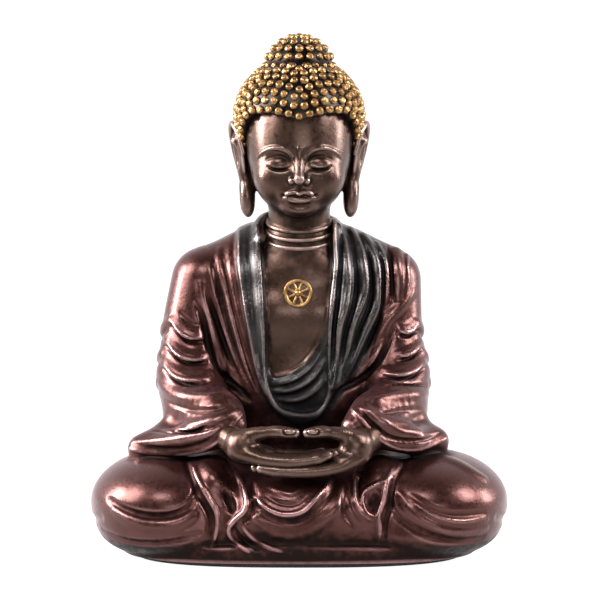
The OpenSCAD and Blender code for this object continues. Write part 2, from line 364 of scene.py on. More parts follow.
def plinth(clay):
    cut, x, y, z = clay.window((-80, -55, 0), (80, 55, 14))
    half_x, half_y, power = 67.4, 45, 3.1
    ring = (np.abs(x / half_x) ** power + np.abs((y + 1.2) / half_y) ** power) ** (1 / power)
    made = soft_max((ring - 1) * half_y, np.abs(z - 4.7) - 3.2, 1.4)
    return cut, made.astype(np.float32)


def layer_robes(torso):
    """Lays the inner robe, the outer robe and its collar band over the bare chest."""
    front = torso.axes[1][None, :, None] - 14
    openings = {}
    for name, outline in (("inner", INNER_OPENING), ("outer", OUTER_OPENING), ("band", BAND_OUTLINE)):
        openings[name] = soft_max(flat_distance(torso, outline)[:, None, :], front, 0)
    bare = torso.d.copy()
    under = soft_max(bare - 1.3, -openings["inner"], 1.0)
    over = soft_max(bare - 2.6, -openings["outer"], 1.6)
    band = soft_max(soft_max(bare - 3.5, -openings["outer"], 1.6), openings["band"], 1.6)
    torso.d = soft_min(soft_min(soft_min(bare, under, 0.4), over, 0.5), band, 0.9).astype(np.float32)


def inner_robe_folds(body):
    body.stroke([(11, 96), (8.6, 85), (4, 76.5), (-2.1, 71), (-11.3, 68.6)], 1.1, 0.6, k=0.6)
    body.stroke([(10.4, 84), (8.2, 77), (3.3, 71), (-3.6, 67), (-10.8, 66)], 1.2, 0.75, k=0.8)
    body.stroke([(10.2, 76), (7.6, 71), (3, 66.6), (-3.6, 63.6), (-10.4, 63)], 1.3, 0.75, k=0.8)
    body.stroke([(10.2, 68), (6.5, 63.6), (1, 60.4), (-4, 59.6), (-8.6, 60)], 1.3, 0.75, k=0.8)
    body.stroke([(10, 80.5), (7, 74), (2.6, 69), (-3.6, 65.4), (-10.6, 64.6)], 0.8, -0.5, k=0.6)
    body.stroke([(10, 72), (6.6, 67), (1, 63), (-4, 61.6), (-9, 61.4)], 0.8, -0.5, k=0.6)


def collar_folds(body):
    # right side of the figure: a flat band between two beads
    body.stroke([(-16.6, 128), (-15.2, 113), (-14.3, 98), (-13.7, 84), (-13.4, 73), (-11.8, 64),
                 (-8.4, 58.2), (-2, 56)], 0.7, 0.4, k=0.4, ends=(0.8, 0.5))
    body.stroke([(-23, 126), (-23.2, 114), (-21.8, 103), (-19.5, 89), (-16.2, 71.5), (-12.8, 62)],
                0.9, 0.6, k=0.5, ends=(0.8, 0.4))
    body.stroke([(-19.6, 126), (-19.2, 113), (-18, 99), (-16.6, 86), (-14.8, 72)], 2.2, -0.7, k=1.4)
    body.stroke([(-20.4, 126), (-20.4, 112), (-19, 98), (-17.2, 84), (-15.2, 71)], 0.5, 0.35, k=0.4)
    body.stroke([(-25.4, 124), (-25.4, 114), (-23.8, 102), (-21.6, 89), (-17.8, 71), (-14.4, 61.5)], 1.1,
                -1.0, k=0.8)
    # left side of the figure: a bead along the edge, then deep falling folds
    body.stroke([(13.6, 127), (13.9, 112), (12.6, 99), (11.6, 84), (11.6, 72), (11.2, 62), (8, 56.6),
                 (3, 55.4)], 0.7, 0.45, k=0.4, ends=(0.8, 0.5))


def shoulder_folds(body):
    # left shoulder: folds fall from the neck and gather at the waist
    body.stroke([(15.5, 126), (18, 116), (18.6, 106), (17.6, 97), (15.2, 88), (14, 76), (12.8, 65)],
                1.9, 1.4, k=1.0, ends=(0.5, 0.4))
    body.stroke([(20, 124.5), (23.8, 117), (25.2, 107), (24.4, 99), (20.6, 90), (18.2, 78), (14.6, 65)],
                2.1, 1.5, k=1.0, ends=(0.5, 0.3))
    body.stroke([(25, 122), (29.2, 115), (30.6, 104), (30, 96), (25.4, 85.5), (20.8, 75), (16.4, 66)],
                2.3, 1.5, k=1.2, ends=(0.5, 0.3))
    body.stroke([(30, 119), (33, 112.5), (33.6, 103), (33.4, 96)], 1.3, 1.1, k=0.8, ends=(0.5, 0.2))
    body.stroke([(44.3, 100.6), (38.9, 94.7), (33.6, 89.4), (28.3, 79.7), (24, 72.6)], 2.3, 1.3, k=1.4,
                ends=(0.1, 0.2))
    body.stroke([(33.4, 82), (28.6, 75), (22, 68.4)], 2.0, 1.2, k=1.2)
    # a folded panel of cloth stands proud on the shoulder
    body.stroke([(37.6, 118.6), (38.2, 112), (38.6, 105), (38.2, 98)], 3.2, 1.2, k=1.0, ends=(0.9, 0.3))
    body.stroke([(41.8, 116.6), (41.6, 111), (41.8, 105), (41, 99)], 0.9, 1.1, k=0.6, ends=(0.9, 0.3))
    for groove in ([(16, 124), (16, 112), (15, 100), (13.4, 88), (12.8, 76), (12, 66)],
                   [(18.6, 124), (21.4, 115), (22.2, 105), (21.2, 97), (18.2, 87), (16, 74)],
                   [(23.4, 122), (26.8, 114), (28, 104), (27.2, 96), (23, 86), (19, 74)],
                   [(28.6, 119), (32, 112), (32.4, 102), (31.6, 94), (27.4, 83), (22.4, 73)],
                   [(34.4, 118), (35.4, 111), (35.8, 103), (35.8, 97)]):
        body.stroke(groove, 0.9, -1.5, k=0.7)
    # right shoulder: shallower folds beside the collar band
    body.stroke([(-31, 117), (-30.4, 110), (-27.6, 100), (-24.8, 88), (-20.6, 73), (-16.4, 63)], 1.7, 0.8,
                k=1.1)
    body.stroke([(-34.8, 112), (-33.2, 102), (-29.4, 89), (-25, 76), (-19, 63.4)], 1.5, 0.8, k=1.0)
    body.stroke([(-38.6, 104), (-36.6, 95), (-32.6, 84), (-28, 73), (-22, 63)], 2.0, 1.2, k=1.3)
    body.stroke([(-28.4, 112), (-26.4, 101), (-23.6, 89), (-19.6, 74), (-16, 64)], 0.8, -0.8, k=0.7)
    body.stroke([(-32.6, 110), (-30.2, 98), (-27, 86), (-22.8, 73), (-18, 63.6)], 0.8, -0.8, k=0.7)
    body.stroke([(-36, 104), (-33.4, 94), (-29.4, 83), (-25, 72)], 0.9, -0.8, k=0.8)


def armpit_creases(body):
    body.stroke([(-39.4, 97), (-37, 90), (-35, 82), (-31.6, 73), (-27.4, 67), (-22.6, 62.6), (-19, 59.6)],
                1.5, -2.8, k=1.6)
    body.stroke([(36.6, 88), (33.4, 80), (28.6, 72), (23, 67), (16.6, 64), (12.6, 58)], 1.3, -2.2, k=1.4)


def right_arm_folds(body):
    # each fold has a broad back and a sharp lower edge with a dark hollow under it
    folds = ([(-50, 91), (-46, 86.6), (-42, 84.4), (-37, 84.4)], [(-51.6, 82.6), (-47, 78.4), (-42, 76.4),
                                                                  (-35.6, 76.6)],
             [(-52.4, 74), (-48, 70.4), (-42, 69), (-33.6, 70)])
    for fold in folds:
        shifted = [(x, z - 2.6) for x, z in fold]
        edge = [(x, z - 1.2) for x, z in fold]
        body.stroke(fold, 2.6, 1.0, k=1.6, ends=(0.2, 0.1))
        body.stroke(edge, 0.8, 1.0, k=0.6, ends=(0.1, 0.1))
        body.stroke(shifted, 0.9, -1.6, k=0.8, ends=(0.2, 0.2))
    body.stroke([(-54, 65), (-48, 62.6), (-40, 62.4), (-31, 64)], 2.6, 0.9, k=1.8)
    body.stroke([(-46, 93), (-42.6, 89.4), (-38.4, 88)], 1.0, -1.0, k=1.0)
    # forearm: cloth pulled from the elbow to the cuff
    body.stroke([(-50, 53.4), (-44, 52.6), (-37, 53.4), (-29, 55.6), (-22.6, 57.4)], 2.2, 0.8, k=1.6)
    body.stroke([(-60, 45), (-50, 46.2), (-38, 48.8), (-28, 52.6)], 2.0, 0.8, k=1.4)
    body.stroke([(-56, 48.6), (-46, 49.4), (-36, 51.2), (-27, 54.6)], 0.8, -1.2, k=0.7)
    body.stroke([(-50, 59), (-42, 57.6), (-34, 58.2), (-26, 59.6)], 0.9, -0.9, k=0.9)


def left_arm_folds(body):
    for fold in ([(46, 88.4), (42, 86.2), (38.4, 86.8)], [(47, 81), (43, 78.2), (38, 77.4)],
                 [(48, 74), (43.6, 71.6), (38, 70.8), (32, 71.4)]):
        body.stroke(fold, 2.2, 0.9, k=1.4, ends=(0.2, 0.1))
        body.stroke([(x, z - 1.1) for x, z in fold], 0.8, 0.9, k=0.5, ends=(0.1, 0.1))
        body.stroke([(x, z - 2.5) for x, z in fold], 0.8, -1.5, k=0.7, ends=(0.2, 0.2))
    body.stroke([(50.6, 64.6), (44, 66), (37, 66.6), (29, 66)], 0.7, -1.4, k=0.6)
    body.stroke([(50.4, 61.8), (44, 62.8), (36, 63), (27, 62.4)], 2.2, 0.8, k=1.5)
    # forearm: a full smooth sleeve with one long crease to the cuff
    body.stroke([(46, 57), (38, 57.4), (30, 56.6), (23, 56.2)], 0.8, -0.8, k=0.8)
    body.stroke([(47, 53), (40, 53), (33, 54.4), (26, 57.4), (20, 59.6)], 2.2, 0.8, k=1.6)


def sleeve_hems(body):
    # right sleeve: one rolled hem with a long crease over it
    body.stroke([(-64.5, 42), (-58, 40.8), (-50, 40.6), (-41, 41.8), (-34, 44.4), (-28, 49.6), (-23.2, 55),
                 (-19, 58)], 1.0, 0.9, k=0.5, ends=(0.6, 0.5))
    body.stroke([(-63, 44), (-56, 43), (-49, 43), (-41, 44.2), (-34, 47.2), (-28.6, 52)], 0.8, -0.8, k=0.6)
    body.stroke([(-52.6, 51.4), (-46.4, 49.5), (-40, 49.8), (-34.6, 52.6)], 0.9, -1.5, k=0.8)
    # left sleeve: a broad turned-back hem
    body.stroke([(12, 56.5), (17.3, 59), (20.6, 58), (23.6, 55), (28.9, 49), (37.3, 43.8), (47.8, 43.4),
                 (56.2, 46)], 0.9, 0.9, k=0.4, ends=(0.6, 0.5))
    body.stroke([(22, 59.4), (25, 56.2), (30, 51.2), (36.4, 47.4), (47.8, 46.6), (54.6, 48.4)], 0.9, -1.1,
                k=0.5)
    body.stroke([(25, 60.4), (31, 54.4), (38, 50.6), (46, 49.8)], 2.2, 0.9, k=1.2)


def lap_drapery(body):
    # lobe of cloth beside the right knee: a smooth panel between two thin rolled edges
    body.stroke([(-44, 40), (-40.6, 33), (-37.4, 27), (-33.4, 19.8), (-33.8, 12)], 1.2, -1.5, k=1.2)
    body.stroke([(-42.2, 41), (-38, 32.6), (-34.8, 27.3), (-30.8, 19.8), (-31.4, 12.5), (-32.7, 8)],
                0.9, 1.0, k=0.6, ends=(0.6, 0.4))
    body.stroke([(-36, 38), (-31.6, 33), (-27.6, 30)], 2.6, 0.7, k=1.6)
    body.stroke([(-18, 33), (-16.8, 27), (-17.4, 21.4), (-21.4, 16.8)], 1.2, -1.5, k=1.2)
    body.stroke([(-29.5, 41), (-24.8, 34.7), (-20.4, 28.4), (-20, 22.4), (-24, 18.2), (-26.6, 14.6),
                 (-24.8, 10.3), (-19, 6.4)], 1.1, 1.4, k=0.6, ends=(0.5, 0.4))
    body.stroke([(-27.6, 28), (-26, 24.6), (-25, 21.4)], 1.8, -1.9, k=0.8, ends=(0.4, 0.4))
    # its tail runs along the plinth
    body.stroke([(-22.4, 18), (-19.4, 13.5), (-13.9, 9), (-5.3, 6)], 1.1, 1.2, k=0.7)
    body.stroke([(-24.2, 15.4), (-22, 11.6), (-18, 8.6), (-12, 6.6)], 0.7, -1.2, k=0.5)
    # cloth hanging between the legs
    body.stroke([(-12, 30.6), (-6, 28.6), (-2, 28.4), (3, 31)], 0.9, 0.7, k=0.8)
    body.stroke([(-17.4, 27.6), (-12.7, 23.3), (-6.3, 20.9), (0.6, 21.8), (5, 25.3), (10.9, 31.5),
                 (14.1, 36)], 1.1, 1.5, k=0.8)
    body.stroke([(-18, 20), (-12, 14.6), (-5, 12.6), (3, 14), (10.4, 19), (15.4, 25.4), (18, 31.6)], 2.0,
                0.8, k=1.8)
    body.stroke([(-16.6, 24), (-12, 20), (-5.6, 17.6), (1, 18.6), (7, 23), (12.2, 29), (15.2, 34.4)], 1.3,
                -1.3, k=1.2)
    body.stroke([(-12.6, 27.4), (-7, 24.8), (-1.4, 24.8), (3.4, 28)], 0.8, -0.8, k=0.8)
    # lobe of cloth beside the left knee, with a leaf-shaped hollow
    body.stroke([(17.6, 34), (17, 27), (17.4, 21), (21, 15.6)], 1.1, -1.3, k=1.1)
    body.stroke([(40.4, 38), (36.8, 33.6), (35, 28.6), (34.2, 23), (32.6, 17), (32.8, 10)], 1.0, -1.4, k=0.9)
    body.stroke([(28.4, 27.4), (27.8, 24.4), (27.8, 22)], 2.0, -1.8, k=0.9, ends=(0.5, 0.4))
    body.stroke([(26.8, 40.4), (23, 36.8), (20.9, 31.5), (20.9, 25.1), (23.6, 20.6), (27.3, 18)],
                1.1, 1.3, k=0.6, ends=(0.5, 0.5))
    body.stroke([(35, 33.6), (28.9, 30.9), (24.7, 28.3), (23.5, 24.6), (25.4, 20.6), (28.6, 19)],
                0.9, 1.1, k=0.5, ends=(0.4, 0.5))
    body.stroke([(38.6, 41), (34.7, 35.7), (32.6, 30.4), (31.8, 25.1), (29.9, 19.8), (30.4, 14.6),
                 (29.9, 9)], 1.0, 1.3, k=0.7)
    body.stroke([(24.6, 36.6), (22.6, 32), (22.3, 27.4)], 0.6, -0.9, k=0.5)


def knee_folds(body):
    body.stroke([(-72, 24.5), (-66, 21.4), (-57.5, 19.6), (-48, 20), (-41.5, 23), (-38.6, 29)], 1.4, -1.8,
                k=1.6)
    body.stroke([(-70, 21), (-64, 17.6), (-57, 15.8), (-47, 16.6), (-39.6, 20)], 2.2, 0.6, k=1.8)
    body.stroke([(-75, 12), (-66, 9.8), (-57, 9.4), (-47, 10.4), (-37, 13)], 1.0, -1.0, k=1.0)
    body.stroke([(34.6, 24), (39.6, 17.6), (48.8, 12.6), (59.6, 10.2), (70, 10.4)], 1.3, -1.3, k=1.4)
    body.stroke([(43.4, 24), (52, 19.6), (60.8, 17.4), (71, 17.4)], 1.8, 1.0, k=1.4)
    body.stroke([(37.6, 28), (43, 20.8), (52, 15.6), (61, 13.6), (71, 13.8)], 1.6, 0.9, k=1.4)
    body.stroke([(42, 27.4), (51, 22), (60, 19.8), (70, 20)], 1.1, -0.9, k=1.2)
    body.stroke([(41, 38), (50, 39.6), (60, 37.6), (70, 32)], 2.8, 0.35, k=2.4)


def back_folds(body):
    # a robe end thrown over the left shoulder, seen from behind
    body.stroke([(24, 122), (21, 108), (18, 90), (16, 72), (15, 56)], 2.2, 1.3, side="back", k=1.2,
                ends=(0.5, 0.3))
    body.stroke([(33, 117), (32, 104), (29, 88), (26, 72), (24, 57)], 2.0, 1.1, side="back", k=1.2,
                ends=(0.4, 0.2))
    body.stroke([(14, 124), (6, 112), (-6, 98), (-20, 84), (-30, 72)], 2.6, 1.2, side="back", k=1.8)
    body.stroke([(14, 114), (4, 100), (-8, 86), (-20, 72), (-28, 60)], 2.8, 1.2, side="back", k=1.8)
    body.stroke([(14, 96), (6, 84), (-4, 72), (-14, 61)], 2.6, 1.1, side="back", k=1.8)
    body.stroke([(12.6, 122), (12.6, 106), (12, 90), (11.6, 74), (11, 58)], 1.3, -1.4, side="back", k=1.2)
    body.stroke([(13, 119), (5, 106), (-7, 92), (-20, 78)], 1.2, -0.9, side="back", k=1.2)
    body.stroke([(36, 58), (22, 46), (4, 42), (-14, 44), (-30, 52)], 2.6, 1.4, side="back", k=1.8)
    body.stroke([(44, 46), (26, 31), (4, 26), (-18, 29), (-40, 40)], 2.8, 1.4, side="back", k=1.8)
    body.stroke([(40, 52), (24, 38), (4, 34), (-16, 36), (-35, 46)], 1.4, -1.2, side="back", k=1.4)
    body.stroke([(48, 36), (28, 20), (4, 16), (-20, 18), (-46, 30)], 1.6, -1.2, side="back", k=1.4)


def side_folds(body):
    for name in ("right", "left"):
        for top, low, bend in ((92, 78, 4), (80, 68, 5), (68, 58, 6)):
            body.stroke([(-2, top - 3), (6, (top + low) / 2), (16, low + bend)], 2.4, 0.5, side=name, k=2)
            body.stroke([(-2, top - 6), (6, (top + low) / 2 - 4), (15, low + bend - 4)], 1.0, -0.8,
                        side=name, k=1.2)
        body.stroke([(-30, 17), (-14, 14.6), (6, 16), (22, 24)], 1.6, -0.5, side=name, k=1.8)


def neck_collar(clay):
    """The robe's edge, close round the back of the neck."""
    ring = [(-14.6, -1, 121), (-15.6, 5, 125.5), (-12, 13, 128.6), (0, 17.5, 130), (11, 13, 127.4),
            (14, 5, 124), (13.2, -1, 119.5)]
    clay.add(clay.tube(spline(ring, 40), 2.1), 1.6)


def make_body():
    """The robed body as one skin, and the plain forms that say which casting each bit belongs to."""
    torso = Clay(BODY_LOW, BODY_HIGH, BODY_STEP)
    torso_forms(torso)
    layer_robes(torso)
    neck_collar(torso)
    arms = {}
    for name, side in (("right_sleeve", -1), ("left_sleeve", 1)):
        arms[name] = Clay(BODY_LOW, BODY_HIGH, BODY_STEP)
        sleeve_forms(arms[name], side)
    lap = Clay(BODY_LOW, BODY_HIGH, BODY_STEP)
    lap_forms(lap)
    lap.add(plinth(lap), 1.4)
    front_roll(lap)

    body = torso.copy()
    body.d = soft_min(body.d, lap.d, 2.0)
    body.d = soft_min(body.d, arms["right_sleeve"].d, 3.0)
    body.d = soft_min(body.d, arms["left_sleeve"].d, 3.0)
    for work in (inner_robe_folds, collar_folds, shoulder_folds, armpit_creases, right_arm_folds,
                 left_arm_folds,
                 lap_drapery, knee_folds, sleeve_hems, back_folds, side_folds):
        work(body)
    forms = {"torso_casting": torso.d, "lap_casting": lap.d, **{k: v.d for k, v in arms.items()}}
    return body, forms


# ---------------------------------------------------------------- hands

def hand(side, index, depth_step, palm_z):
    """One hand, palm up. index is the path of the front finger; the others lie behind it."""
    clay = Clay((-36, -54, 26), (36, -18, 58), HAND_STEP)
    wrist = [(side * 33, -22, 51), (side * 29, -29, 49), (side * 24, -35, 46.5)]
    clay.add(clay.tube(wrist, [6, 5.6, 5.2]), 0)
    clay.add(clay.ellipsoid((side * 17.5, -37.5, palm_z), (9, 8, 3.6)), 3)
    clay.add(clay.ellipsoid((side * 21, -39.5, 45.6), (5.6, 4.6, 5.4)), 3)
    reach = (0, 2.2, 1.2, -2.5)
    for finger in range(4):
        path = np.array(index, float)
        path[:, 1] += depth_step * finger
        path[1:, 0] -= side * reach[finger] * np.linspace(0, 1, len(path) - 1)
        clay.add(clay.tube(spline(path, 26), np.interp(np.linspace(0, 1, 26),
                                                       [0, 0.2, 0.45, 0.55, 0.75, 0.82, 1],
                                                       [3.2, 2.7, 2.3, 2.4, 2.1, 2.2,
                                                        1.6])), 0.5 if finger else 1.5)
    thumb = [(side * 22.5, -38, 47.6), (side * 16, -41.2, 50.3), (side * 9, -43.2, 51.5),
             (0.8 + side * 2.2, -43.6, 51)]
    clay.add(clay.tube(spline(thumb, 24), np.interp(np.linspace(0, 1, 24), [0, 0.3, 0.55, 0.68, 0.85, 1],
                                                    [3.9, 2.9, 2.1, 2.35, 2.15, 1.7])), 1.6)
    nail = (0.8 + side * 4.4, -45.4, 51.7)
    clay.carve(clay.ellipsoid(nail, (2.6, 1.0, 1.55)), 0.3)
    clay.add(clay.ellipsoid((nail[0], nail[1] + 0.35, nail[2]), (2.1, 0.9, 1.1)), 0.2)
    return clay


def make_hands():
    right = hand(-1, [(-24, -37, 45.6), (-19.5, -42.4, 42.6), (-11, -45.4, 40.9), (-2, -46.4, 40.6),
                      (6, -46, 41.5),
                      (11, -45.2, 43)], 2.9, 42.6)
    left = hand(1, [(24.5, -37, 44), (20, -42.4, 40.2), (11, -45.2, 37.6), (1, -46.2, 36.8), (-8, -46, 37),
                    (-14.5, -45, 37.8)], 2.9, 41)
    return right, left


# ---------------------------------------------------------------- head

HEAD_LOW, HEAD_HIGH = (-31, -28, 110), (31, 34, 201)


def face_forms(clay):
    clay.add(clay.ellipsoid((0, 4, 164), (21, 22.4, 20.5)))
    clay.add(clay.ellipsoid((0, -1, 151.6), (19.1, 18.6, 17)), 6)
    clay.add(clay.ellipsoid((0, -3.5, 141.6), (14.8, 13.8, 10.8)), 7)
    clay.add(clay.ellipsoid((0, -12.8, 134.4), (6.4, 5, 4.2)), 4)
    clay.add(clay.ellipsoid((0, 9, 147), (19.6, 15, 15)), 3)
    for side in (-1, 1):
        clay.add(clay.ellipsoid((side * 9.4, -10.6, 144.6), (6.4, 6.6, 6.2)), 5)


def neck_forms(clay):
    clay.add(clay.tube([(0, 6, 108), (0, 5, 122), (0, 3.6, 138)], [13, 12, 11.8], 6), 3)
    for z, r in ((120.8, 12.8), (124, 12.5), (127.2, 12.1)):
        arc = np.radians(np.linspace(-100, 100, 24))
        ring = np.stack([r * np.sin(arc), 5 - r * np.cos(arc), z - 3.2 * np.cos(arc)], -1)
        clay.add(clay.tube(ring, 0.9, 2), 1.0)


def eye(clay, side):
    at = lambda x, z: (side * x, z)
    clay.carve(clay.ellipsoid((side * 7.4, -20.2, 152.2), (6.2, 3.2, 3.6)), 3)
    clay.add(clay.ellipsoid((side * 7.7, -14.0, 150.7), (5.0, 4.0, 3.5)), 1.2)
    clay.stroke([at(3.6, 149.4), at(5.4, 148.8), at(7.8, 148.5), at(10.2, 148.9), at(12.2, 149.9)], 0.7,
                -0.75, k=0.35)
    clay.stroke([at(3.8, 150.0), at(5.6, 149.6), at(7.8, 149.4), at(10.2, 149.8), at(12, 150.6)], 0.6, 0.4,
                k=0.4)
    clay.stroke([at(4.2, 147.9), at(6, 147.2), at(8, 147), at(10.2, 147.6), at(11.8, 148.8)], 0.8, 0.35,
                k=0.6)
    clay.stroke([at(3.4, 151.6), at(5.4, 153.2), at(8, 153.8), at(10.8, 153.2), at(12.8, 151.8)], 0.6, -0.4,
                k=0.6)


def brow(clay, side):
    at = lambda x, z: (side * x, z)
    clay.stroke([at(1.9, 151), at(2.5, 153.4), at(4.6, 155.6), at(8, 156.8), at(11.6, 156.4),
                 at(14.6, 154.6), at(16.2, 152.6)], 0.9, 0.75, k=0.5, ends=(0.6, 0.2))


def nose_and_mouth(clay):
    clay.add(clay.tube([(0, -17.2, 155), (0, -18.6, 151), (0, -20.8, 147), (0, -21.8, 145.2)],
                       [1.3, 1.5, 1.8, 2.1]), 1.6)
    for side in (-1, 1):
        clay.add(clay.ellipsoid((side * 2.7, -18.9, 144.4), (1.7, 2.1, 1.6)), 0.7)
        clay.carve(clay.ellipsoid((side * 1.5, -21, 142.8), (0.8, 1.3, 0.55)), 0.3)
        clay.stroke([(side * 4.3, 145.6), (side * 4.7, 144), (side * 3.8, 142.8)], 0.6, -0.35, k=0.5)
    clay.add(clay.ellipsoid((0, -15.6, 138.8), (7.2, 3.6, 3.6)), 2.5)
    for side in (-1, 1):
        clay.stroke([(0, 139.5), (side * 1.5, 140.1), (side * 3.6, 139.6), (side * 6, 138.6)],
                    0.95, 0.65, k=0.4, ends=(0.9, 0.1))
        clay.carve(clay.ellipsoid((side * 6.5, -18.2, 138.6), (0.9, 1.2, 0.8)), 1.0)
    clay.stroke([(-4.6, 137.5), (-2.4, 136.8), (0, 136.6), (2.4, 136.8), (4.6, 137.5)], 1.2, 0.8, k=0.5)
    clay.stroke([(-6.3, 138.7), (-3.4, 138.4), (-1.4, 138.6), (0, 138.3), (1.4, 138.6), (3.4, 138.4),
                 (6.3, 138.7)], 0.5, -0.6, k=0.3)
    clay.stroke([(0, 142.4), (0, 141.4), (0, 140.4)], 0.9, -0.45, k=0.6, ends=(0.6, 0.6))
    clay.stroke([(-3.4, 134.9), (0, 134.4), (3.4, 134.9)], 1.2, -0.6, k=1.2)


def ear(clay, side):
    """A long ear: a thin shell that stands off the head at its back edge and a heavy lobe."""
    def at(y, z, out=0.0):
        flare = 0.23 if z > 148 else 0.17
        return (side * (20.2 + 0.33 * (y + 1) + flare * (z - 148) + out), y, z)
    shell = [at(3.4, 158.5), at(4, 152), at(3.6, 145.5)]
    clay.add(clay.tube(shell, [2.4, 2.6, 2.2]), 1.5)
    clay.add(clay.ellipsoid(at(4.2, 153.4), (1.3, 5.4, 9.6), (0, side * 9, -side * 18)), 1.0)
    rim = [at(-1.6, 154), at(-1.2, 159), at(1, 163.4), at(4.4, 165.2), at(7.6, 162), at(8.8, 155.6),
           at(8.2, 149.6), at(6.4, 144.4), at(5, 140)]
    clay.add(clay.tube(spline(rim, 40), np.interp(np.linspace(0, 1, 40), [0, 0.3, 1], [0.8, 1.15, 1.2])),
             0.6)
    clay.carve(clay.ellipsoid(at(3.4, 152.6, 2.2), (1.8, 2.6, 5.2), (0, side * 9, -side * 18)), 0.8)
    clay.add(clay.ellipsoid((side * 20.2, 3.8, 137), (3.2, 4.2, 8), (0, side * 4, 0)), 2.2)
    clay.carve(clay.ellipsoid((side * 23.4, 3, 137.6), (1.3, 1.6, 4)), 1.4)


def hairline(around):
    """Height of the hair's lower edge at an angle from the front, in degrees."""
    stops = [0, 12, 28, 48, 60, 72, 84, 96, 112, 140, 180]
    heights = [167.4, 168.8, 170, 169.6, 166.4, 160.5, 155.4, 153, 149, 143, 140.5]
    return np.interp(np.abs(around), stops, heights)


def make_head():
    head = Clay(HEAD_LOW, (31, 34, 190), HEAD_STEP)
    face_forms(head)
    for side in (-1, 1):
        eye(head, side)
    nose_and_mouth(head)
    for side in (-1, 1):
        brow(head, side)
        ear(head, side)
    neck_forms(head)
    return head


def make_hair():
    hair = Clay((-31, -28, 136), HEAD_HIGH, HEAD_STEP)
    hair.add(hair.ellipsoid(CAP_C, CAP_R))
    hair.add(hair.ellipsoid(NAPE_C, NAPE_R), 4)
    x, y, z = (a.reshape([-1 if k == i else 1 for k in range(3)]) for i, a in enumerate(hair.axes))
    around = np.degrees(np.arctan2(x, -(y - CAP_C[1])))
    hair.keep((hairline(around) - z + 0 * y).astype(np.float32), 1.6)
    hair.add(hair.ellipsoid(KNOT_C, KNOT_R), 2.5)
    return hair


# ---------------------------------------------------------------- snail curls

CAP_C, CAP_R = (0, 4.4, 168), (24.2, 24.9, 22.2)
KNOT_C, KNOT_R = (0, 6.6, 185.4), (13.3, 13, 13.2)
NAPE_C, NAPE_R = (0, 9.4, 148.5), (20.2, 16.2, 15.6)
CURL_R = 1.58
ROW_STEP = 3.65
LOWEST_POLAR = 2.42
CURL_STEP = 4.05


def on_oval(centre, radii, around, polar):
    d = np.array([math.sin(around) * math.sin(polar), -math.cos(around) * math.sin(polar), math.cos(polar)])
    n = d / np.array(radii)
    return np.array(centre) + d * np.array(radii), n / np.linalg.norm(n)


def polar_at_height(centre, radii, z):
    return math.acos(max(-1, min(1, (z - centre[2]) / radii[2])))


def curl_row(centre, radii, polar_of, offset):
    """Places along one row, evenly spaced; polar_of gives the row's polar angle at each compass angle."""
    turns = np.linspace(-math.pi, math.pi, 361)
    line = np.array([on_oval(centre, radii, a, polar_of(a))[0] for a in turns])
    run = np.concatenate([[0], np.cumsum(np.linalg.norm(np.diff(line, axis=0), axis=1))])
    count = max(1, round(run[-1] / CURL_STEP))
    stops = (np.arange(count) + offset) / count * run[-1]
    return [on_oval(centre, radii, a, polar_of(a)) for a in np.interp(stops, run, turns)]


def curl_places(hair):
    places = []
    for row in range(20):
        def polar_of(a, row=row):
            low = polar_at_height(CAP_C, CAP_R, float(hairline(math.degrees(a))) + 1.5)
            return max(min(low, LOWEST_POLAR) - row * ROW_STEP / 23.5, 0.02)
        for p, n in curl_row(CAP_C, CAP_R, polar_of, 0.5 * (row % 2)):
            if math.hypot(p[0] - KNOT_C[0], p[1] - KNOT_C[1]) > KNOT_R[0] + 0.9:
                places.append(raised(hair, p, n))
    for row, z in enumerate((147.6, 144.0)):
        polar = polar_at_height(NAPE_C, NAPE_R, z)
        for p, n in curl_row(NAPE_C, NAPE_R, lambda a: polar, 0.5 * (row % 2)):
            around = math.degrees(math.atan2(p[0], -(p[1] - NAPE_C[1])))
            if z > hairline(around) + 1.2:
                places.append(raised(hair, p, n))
    for row in range(7):
        polar = row * ROW_STEP / 12.9
        for p, n in curl_row(KNOT_C, KNOT_R, lambda a: max(polar, 1e-3), 0.5 * (row % 2)):
            if row == 0:
                p, n = on_oval(KNOT_C, KNOT_R, 0, 0)
            places.append((p, n))
            if row == 0:
                break
    return places


def raised(hair, p, n):
    """Lifts a place that lies under the hair's skin up onto it."""
    if hair.value(p) > -0.5:
        return p, n
    for _ in range(4):
        p = p - hair.value(p) * hair.normal(p)
    return p, hair.normal(p)


def curl_shape(rings=9, spokes=14):
    """One snail-shell curl: a dome with a spiral groove that runs into a dimple on top."""
    points, faces = [], []
    for i in range(rings):
        t = i / (rings - 1)
        angle = math.pi * 0.60 * (1 - t)
        for j in range(spokes):
            a = 2 * math.pi * j / spokes
            r = math.sin(angle)
            h = math.cos(angle)
            groove = 0.06 * math.cos(a - 9.5 * t) * min(1, 4 * t)
            dimple = 0.22 * max(0, 1 - (r / 0.42) ** 2)
            points.append((r * (1 + groove) * math.cos(a), r * (1 + groove) * math.sin(a),
                           h * (1 + groove) - dimple))
    for i in range(rings - 2):
        for j in range(spokes):
            k = (j + 1) % spokes
            faces.append((i * spokes + j, i * spokes + k, (i + 1) * spokes + k, (i + 1) * spokes + j))
    keep = (rings - 1) * spokes
    points = points[:keep] + [(0, 0, 0.78), (0, 0, math.cos(math.pi * 0.60))]
    for j in range(spokes):
        k = (j + 1) % spokes
        faces.append(((rings - 2) * spokes + j, (rings - 2) * spokes + k, keep, keep))
        faces.append((k, j, keep + 1, keep + 1))
    return np.array(points), np.array(faces)


